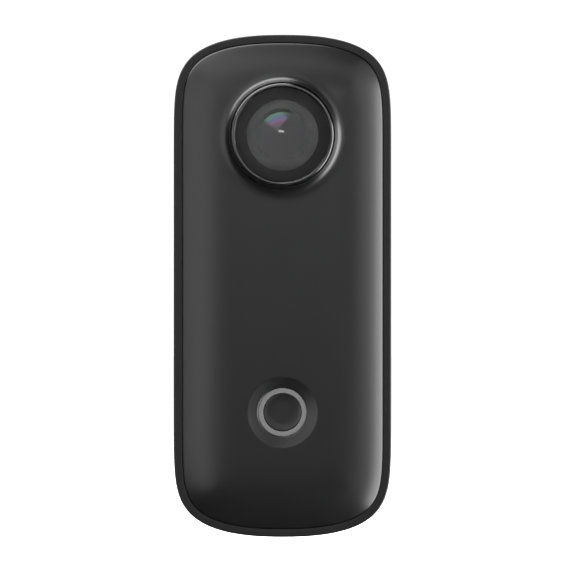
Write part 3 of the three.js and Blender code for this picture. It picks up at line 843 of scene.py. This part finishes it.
def face_fill_points(outer_inset):
    """Points over the face between its rings: along the margin, then a staggered grid."""
    rows = 9
    spacing = (DEEPEST_LOOP - outer_inset) / rows
    points = []
    for i in range(1, rows + 1):
        points += [p[:2] for p in outline_loop(outer_inset + spacing * i, 0)[i % 2 :: 2]]
    step = 0.6 * MM
    rows = int(2 * HALF_HEIGHT / step)
    columns = int(2 * (HALF_WIDTH - DEEPEST_LOOP) / step)
    for row in range(rows):
        for column in range(columns + 1):
            x = (column - columns / 2 + 0.5 * (row % 2)) * step
            height = (row - rows / 2) * step
            if inset_at(x, height) > DEEPEST_LOOP + 0.4 * step:
                points.append((x, height))
    clear = 0.25 * MM

    def free(point):
        from_lens = math.dist(point, LENS)
        from_button = math.dist(point, BUTTON)
        return from_lens > COLLAR_MARGIN + clear and from_button > DISH_MARGIN + clear

    return [p for p in points if free(p)]


def make_front_cover():
    edge = 0.07 * MM  # radius of the crisp edge where the crown turns down into the skirt
    first = COVER_INSET + edge
    last = COVER_INSET + 1.8 * MM
    steps = 10
    margin = [outline_loop(COVER_INSET, crown_depth(COVER_INSET) - edge)]
    margin.append(outline_loop(COVER_INSET + 0.3 * edge, crown_depth(COVER_INSET) - 0.15 * edge))
    for i in range(steps + 1):
        inset = first + (last - first) * i / steps
        margin.append(outline_loop(inset, crown_depth(inset)))
    skirt = outline_loop(COVER_INSET, FRONT_LEDGE + GASKET)
    wall = COVER_INSET + COVER_WALL
    inner_skirt = outline_loop(wall, FRONT_LEDGE + GASKET)
    ceiling = outline_loop(wall, CEILING)
    collar = collar_rings()
    dish = dish_rings()
    solid = Solid().strip(inner_skirt, skirt, *margin).strip(*collar).strip(*dish)
    solid.strip(inner_skirt, ceiling)
    solid.fill(margin[-1], [collar[0], dish[0]], face_fill_points(last), face_depth)
    solid.fill(ceiling, [collar[-1], dish[-1]], [], lambda x, height: CEILING)
    obj = solid.piece("front_cover_shell")
    for side in (-1, 1):
        x = side * BUTTON_BOSS_X
        carve(obj, boss(*BUTTON_BOSS, x, BUTTON[1]), "UNION")
    return shade(obj)


def make_rear_cover():
    steps = 14
    skirt_end = BACK_LEDGE - GASKET
    wall = COVER_INSET + COVER_WALL
    loops = [outline_loop(wall, skirt_end), outline_loop(COVER_INSET, skirt_end)]
    for i in range(steps + 1):
        share = math.cos(i / steps * math.pi / 2)
        depth = FRAME_BACK * (1 - math.sqrt(max(0, 1 - share**REAR_CROWN_POWER)))
        loops.append(outline_loop(COVER_INSET + REAR_CROWN_WIDTH * (1 - share), depth))
    solid = Solid().strip(*loops).cap(loops[-1])
    floor = outline_loop(wall, COVER_WALL)
    solid.strip(loops[0], floor).cap(floor)
    obj = solid.piece("rear_cover_shell")
    for magnet in ("upper_magnet", "lower_magnet"):
        height = axis_height(magnet)
        carve(obj, boss(*MAGNET_POCKET, 0, height), "UNION")
    return shade(obj)


place(make_frame(), "camera_body", FRAME_SATIN, "frame", "mid_frame")
place(make_front_cover(), "camera_body", SATIN, "shell", "front_cover")
place(make_rear_cover(), "camera_body", SATIN, "shell", "rear_cover")


# ---- Lens ----
def lens_trim_ring():
    back, front = depths("lens_trim_ring")
    outer = 6.2 * MM
    bore = half_width("lens_window") + 0.05 * MM
    seat = depths("window_gasket")[0] - 0.02 * MM
    lip = 5 * MM
    flange = half_width("lens_trim_ring")
    under = CEILING - 0.05 * MM
    profile = [
        (lip, back, 0.05 * MM),
        (flange, back, 0.05 * MM),
        (flange, under, 0.05 * MM),
        (outer, under, 0),
        (outer, front, 0.3 * MM),
        (bore, front, 0.05 * MM),
        (bore, seat, 0),
        (lip, seat, 0.05 * MM),
    ]
    return turned("lens_trim_ring_polished", LENS, profile)


def lens_window():
    back, front = depths("lens_window")
    radius = half_width("lens_window")
    chamfer = 0.08 * MM
    profile = [(0, back, 0), (radius, back, chamfer), (radius, front, chamfer), (0, front, 0)]
    return turned("lens_window_glass", LENS, profile)


def plain_ring(name, node_name, inner):
    chamfer = 0.02 * MM
    back, front = depths(node_name)
    outer = half_width(node_name)
    profile = [
        (inner, back, chamfer),
        (outer, back, chamfer),
        (outer, front, chamfer),
        (inner, front, chamfer),
    ]
    return turned(name, LENS, profile)


def lens_element(name, node_name, edge, back_bulge, front_bulge):
    """A lens whose rim is as wide as its edge, with a spherical face on each side."""
    back, front = depths(node_name)
    radius = half_width(node_name)
    rim_front = front - front_bulge
    rim_back = rim_front - edge
    steps = 24
    profile = []
    for i in range(steps + 1):
        r = radius * i / steps
        profile.append((r, rim_back - back_bulge * (1 - (r / radius) ** 2), 0))
    sphere = (radius**2 + front_bulge**2) / (2 * front_bulge)
    for i in range(steps, -1, -1):
        r = radius * i / steps
        profile.append((r, front - sphere + math.sqrt(sphere**2 - r**2), 0))
    return turned(name, LENS, profile)


place(lens_trim_ring(), "camera_body", GLOSS_BLACK, "gloss_black", "lens_trim_ring")
place(lens_window(), "camera_body", WINDOW_GLASS, "glass", "lens_window")
place(
    plain_ring("window_mask_print", "window_mask", 4.36 * MM),
    "camera_body", INK, "ink", "window_mask",
)
place(
    lens_element("front_lens_dome", "front_lens_element", 0.3 * MM, -0.1 * MM, 1.5 * MM),
    "camera_body", FRONT_GLASS, "optic_glass", "front_lens_element",
)
place(
    lens_element("middle_lens", "middle_lens_element", 0.3 * MM, 0.1 * MM, 0.5 * MM),
    "camera_body", OPTIC_GLASS, "optic_glass", "middle_lens_element",
)
place(
    lens_element("rear_lens", "rear_lens_element", 0.45 * MM, 0.3 * MM, 0.4 * MM),
    "camera_body", OPTIC_GLASS, "optic_glass", "rear_lens_element",
)


# ---- Record button ----
CAP_RADIUS = 2.28 * MM
LIGHT_RING = (2.35 * MM, 2.96 * MM)  # inner and outer radius, in front of its flange


def record_button():
    """A cap with a flange behind it and a shallow dish in its face."""
    back, front = depths("record_button")
    flange = half_width("record_button")
    flange_front = back + 0.5 * MM
    dip = 0.12 * MM
    profile = [
        (0, back, 0),
        (flange, back, 0.1 * MM),
        (flange, flange_front, 0.1 * MM),
        (CAP_RADIUS, flange_front, 0),
        (CAP_RADIUS, front, 0.04 * MM),
        (2.2 * MM, front, 0.03 * MM),
        (1.95 * MM, front - 0.06 * MM, 0.8 * MM),
        (1.5 * MM, front - 0.1 * MM, 2 * MM),
        (0.9 * MM, front - dip, 0),
        (0, front - dip, 0),
    ]
    return turned("record_button_cap", BUTTON, profile)


def light_ring():
    back, front = depths("button_light_ring")
    flange = half_width("button_light_ring")
    flange_front = CEILING - 0.05 * MM
    inner, outer = LIGHT_RING
    profile = [
        (inner, back, 0.03 * MM),
        (flange, back, 0.03 * MM),
        (flange, flange_front, 0.03 * MM),
        (outer, flange_front, 0),
        (outer, front, 0.05 * MM),
        (inner, front, 0.05 * MM),
    ]
    return turned("light_ring_guide", BUTTON, profile)


place(record_button(), "record_key", CAP, "cap", "record_button")
place(light_ring(), "camera_body", LIGHT_GUIDE, "light_guide", "button_light_ring")


# ---- Mode button, on the right side ----
def mode_button():
    """A long cap with a rounded end, on a flange that holds it in the frame."""
    _, height, depth = middle_of("mode_button")
    low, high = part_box("mode_button")
    middle = (height, depth)
    length, thickness = MODE_CAP
    flange_length = high.z - low.z
    flange_thickness = high.y - low.y
    flange_end = low.x + 0.5 * MM
    flange = (flange_length, flange_thickness, 1 * MM, middle)
    cap_edge = 0.35 * MM
    steps = 6
    sections = [(low.x, *flange), (flange_end, *flange)]
    sections.append((flange_end, length, thickness, 0.499 * thickness, middle))
    for i in range(steps + 1):
        turn = i / steps * math.pi / 2
        inset = cap_edge * (1 - math.cos(turn))
        x = high.x - cap_edge * (1 - math.sin(turn))
        width = thickness - 2 * inset
        sections.append((x, length - 2 * inset, width, 0.499 * width, middle))
    return sideways(sections).piece("mode_button_cap")


place(mode_button(), "mode_key", FRAME_SATIN, "cap", "mode_button")


# ---- Port door in the bottom end, with its seal and its strap ----
HINGE_DEPTH = 3.3 * MM


def skin():
    """The body's outline, right through, with the frame's rounded edges."""
    corners = [(FRAME_BACK, EDGE), (FRAME_FRONT, EDGE)]
    cap = 6 * EDGE
    profile = [(cap, FRAME_BACK, 0), *[(0, d, r) for d, r in corners], (cap, FRAME_FRONT, 0)]
    loops = [outline_loop(inset, depth) for inset, depth in rounded(profile, 5)]
    return Solid().cap(loops[0]).strip(*loops).cap(loops[-1])


def port_door():
    middle = (DOOR_BACK + DOOR_FRONT) / 2
    depth = DOOR_FRONT - DOOR_BACK
    panel = straight(OUTSIDE, DOOR_INNER, DOOR_WIDTH, depth, DOOR_CORNER, middle)
    obj = panel.piece("port_door_panel")
    carve(obj, skin(), "INTERSECT")
    carve(obj, strap_solid(0.05 * MM))
    soften_edges(obj, 0.08 * MM)
    return shade(carve(obj, fingernail_scoop()))


def fingernail_scoop():
    """A shallow hollow at the door's free edge, half of a ball flattened to an oval."""
    across = 2.4 * MM
    forward = 0.55 * MM
    deep = 0.35 * MM
    steps = 10
    count = 40
    loops = []
    for i in range(steps):
        turn = math.pi / 2 * i / steps
        spread = math.cos(turn)
        height = -HALF_HEIGHT - 0.02 * MM + deep * math.sin(turn)
        loop = circle_loop((0, 0), spread, 0, count)
        loops.append([(across * x, height, DOOR_FRONT - 1 * MM + forward * d) for x, d, _ in loop])
    under = [(x, OUTSIDE, depth) for x, _, depth in loops[0]]
    return Solid().cap(under).strip(under, *loops).cap(loops[-1])


def port_door_seal():
    """A plug whose lip runs round a shallow recess in its inner face."""
    width, _, depth = size_of("port_door_seal")
    bottom, top = heights("port_door_seal")
    middle = (0, middle_of("port_door_seal")[2])
    corner = 0.9 * MM

    def section(height, inset):
        return height, width - 2 * inset, depth - 2 * inset, corner - 0.6 * inset, middle

    lip = 0.55 * MM
    sections = [
        section(bottom, 0.18 * MM),
        section(bottom + 0.12 * MM, 0.16 * MM),
        section(bottom + 0.22 * MM, 0.02 * MM),
        section(bottom + 0.32 * MM, 0),
        section(top - 0.1 * MM, 0.02 * MM),
        section(top - 0.03 * MM, 0.08 * MM),
        section(top, 0.18 * MM),
        section(top, lip - 0.08 * MM),
        section(top - 0.04 * MM, lip),
        section(top - 0.26 * MM, lip + 0.04 * MM),
    ]
    return standing(sections).piece("port_door_plug")


def skin_height(x):
    """The height of the body's underside."""
    across = min(1, abs(x) / HALF_WIDTH)
    return -(HALF_HEIGHT - END_RISE) - END_RISE * (1 - across**ACROSS_POWER) ** (1 / ALONG_POWER)


def port_door_strap():
    """A rubber strap with three fine grooves across its outer face, where it bends."""
    low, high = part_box("port_door_strap")
    inner = high.z
    back, front = depths("port_door_strap")
    columns = 10
    rows = 60
    deep = 0.09 * MM
    half = 0.07 * MM

    def groove(depth):
        return sum(
            deep * max(0, 1 - abs(depth - HINGE_DEPTH - offset * MM) / half)
            for offset in (-0.26, 0, 0.26)
        )

    across = [low.x + (high.x - low.x) * i / columns for i in range(columns + 1)]
    loops = []
    for row in range(rows + 1):
        depth = back + (front - back) * row / rows
        outer = [(x, skin_height(x) + groove(depth), depth) for x in across]
        loops.append([*outer, *[(x, inner, depth) for x in reversed(across)]])
    return Solid().cap(loops[0]).strip(*loops).cap(loops[-1]).piece("port_door_hinge_strap", 50)


place(port_door(), "door", RUBBER, "rubber", "port_door")
place(port_door_seal(), "door", RUBBER, "rubber", "port_door_seal")
strap = port_door_strap()
strap.data.materials.append(RUBBER)
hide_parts("port_door_strap")
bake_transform(strap)


# ---- CAD nodes that stay as they are ----
SLOT_MATERIALS = {
    "shell": SATIN,
    "frame": FRAME_SATIN,
    "gloss_black": GLOSS_BLACK,
    "cap": CAP,
    "rubber": RUBBER,
    "light_guide": LIGHT_GUIDE,
    "glass": FILTER_GLASS,
    "optic_glass": OPTIC_GLASS,
    "ink": INK,
    "black_plastic": BLACK_PLASTIC,
    "board": BOARD,
    "chip": CHIP,
    "steel": STEEL,
    "nickel": NICKEL,
    "foil": FOIL,
    "foam": FOAM,
    "film": FILM,
    "ceramic": CERAMIC,
    "red_wire": RED_WIRE,
    "white_plastic": WHITE_PLASTIC,
    "led": LED,
}
NODE_MATERIALS = {"microphone_mesh": SOUND_MESH}
for entry in frame["record"]["subparts"]:
    cad_node = frame["nodes"][entry["node"]]
    cad_node.data.materials.clear()
    slot_material = SLOT_MATERIALS[entry["material_slot"]]
    cad_node.data.materials.append(NODE_MATERIALS.get(entry["node"], slot_material))


# ---- Stage, light and camera ----
IMAGE_SIDE = 570  # pixels
SENSOR = 36
DISTANCE = 500 * MM  # from the photo's camera to the frame's front edge
PIXELS_PER_METRE = 8187
SHIFT = (2.5, 0.85)  # pixels
DROP_TO_FLOOR = 30 * MM  # the object is held by its magnetic back, clear of the floor


def make_stage():
    side = 3
    floor = add_object("floor", bpy.data.meshes.new("floor"))
    level = -HALF_HEIGHT - DROP_TO_FLOOR
    corners = [(-side, -side), (side, -side), (side, side), (-side, side)]
    floor.data.from_pydata([(x, y, level) for x, y in corners], [], [(0, 1, 2, 3)])
    made = new_material("pale_floor", (0.9, 0.9, 0.9), 0.6, grain=200, bump=0.0, mottle=0.01)
    tree = made.node_tree
    shader = tree.nodes["Principled BSDF"]
    shader.inputs["Specular IOR Level"].default_value = 0
    # Seen from below, the floor is clear, so that a view from there shows the object.
    see_through = tree.nodes.new("ShaderNodeMixShader")
    side_seen = tree.nodes.new("ShaderNodeNewGeometry")
    clear = tree.nodes.new("ShaderNodeBsdfTransparent")
    tree.links.new(side_seen.outputs["Backfacing"], see_through.inputs["Fac"])
    tree.links.new(shader.outputs["BSDF"], see_through.inputs[1])
    tree.links.new(clear.outputs["BSDF"], see_through.inputs[2])
    tree.links.new(see_through.outputs["Shader"], tree.nodes["Material Output"].inputs["Surface"])
    floor.data.materials.append(made)
    floor.visible_glossy = False
    floor.visible_shadow = False
    world = bpy.data.worlds.new("studio")
    world.use_nodes = True
    background = world.node_tree.nodes["Background"]
    background.inputs["Color"].default_value = (1, 1, 1, 1)
    background.inputs["Strength"].default_value = 1.15
    bpy.context.scene.world = world
    world.cycles_visibility.glossy = False
    world.cycles_visibility.transmission = False


def softbox(name, polar, clock, distance, along, across, radiance):
    """A rectangular light that faces the camera body.

    polar is its middle's angle from straight in front and clock the way it lies from there,
    0 to the right and 90 up; along and across are half its angular size each way.
    """
    width = 2 * distance * math.tan(math.radians(across))
    height = 2 * distance * math.tan(math.radians(along))
    light = bpy.data.lights.new(name, "AREA")
    light.shape = "RECTANGLE"
    light.size = width
    light.size_y = height
    light.energy = radiance * 4 * width * height  # Cycles divides it by 4 times the area
    obj = add_object(name, light)
    p = math.radians(polar)
    c = math.radians(clock)
    outward = Vector((math.cos(c), 0, math.sin(c)))
    forward = Vector((0, -1, 0))
    away = forward * math.cos(p) + outward * math.sin(p)
    up = outward * math.cos(p) - forward * math.sin(p)
    turn = Matrix((up.cross(away), up, away)).transposed()
    obj.matrix_world = Matrix.Translation(away * distance) @ turn.to_4x4()
    obj.visible_camera = False
    return obj


def make_lights():
    softbox("right_softbox", 82, -14, 0.6, 32, 29, 7.5)
    softbox("upper_left_softbox", 103, 118, 0.6, 33, 36, 7.5)
    softbox("upper_left_card", 43, 142, 0.6, 29, 33, 0.85)
    softbox("left_card", 42, 183, 0.6, 29, 14, 0.57)
    softbox("lens_card", 42, 105, 0.6, 15, 20, 0.55)
    softbox("upper_right_card", 50, 30, 0.6, 24, 22, 0.95)
    softbox("right_card", 34, -15, 0.6, 18, 28, 0.4)
    softbox("catch_light", 9.5, 74, 0.6, 1.5, 9, 6)
    softbox("front_card", 4, 140, 0.5, 9, 9, 0.1)
    softbox("rear_card", 168, 90, 0.9, 20, 20, 0.8)
    softbox("rear_softbox", 128, 140, 0.6, 20, 25, 3)


def make_camera():
    lens = bpy.data.cameras.new("photo_camera")
    lens.sensor_width = SENSOR
    lens.lens = PIXELS_PER_METRE * DISTANCE / IMAGE_SIDE * SENSOR
    lens.shift_x = SHIFT[0] / IMAGE_SIDE
    lens.shift_y = SHIFT[1] / IMAGE_SIDE
    lens.clip_start = 0.01
    lens.clip_end = 20
    obj = add_object("photo_camera", lens)
    obj.location = (0, -FRAME_FRONT - DISTANCE, 0)
    obj.rotation_euler = (math.radians(90), 0, 0)
    bpy.context.scene.camera = obj


make_stage()
make_lights()
make_camera()
bpy.context.scene.view_settings.view_transform = "Standard"
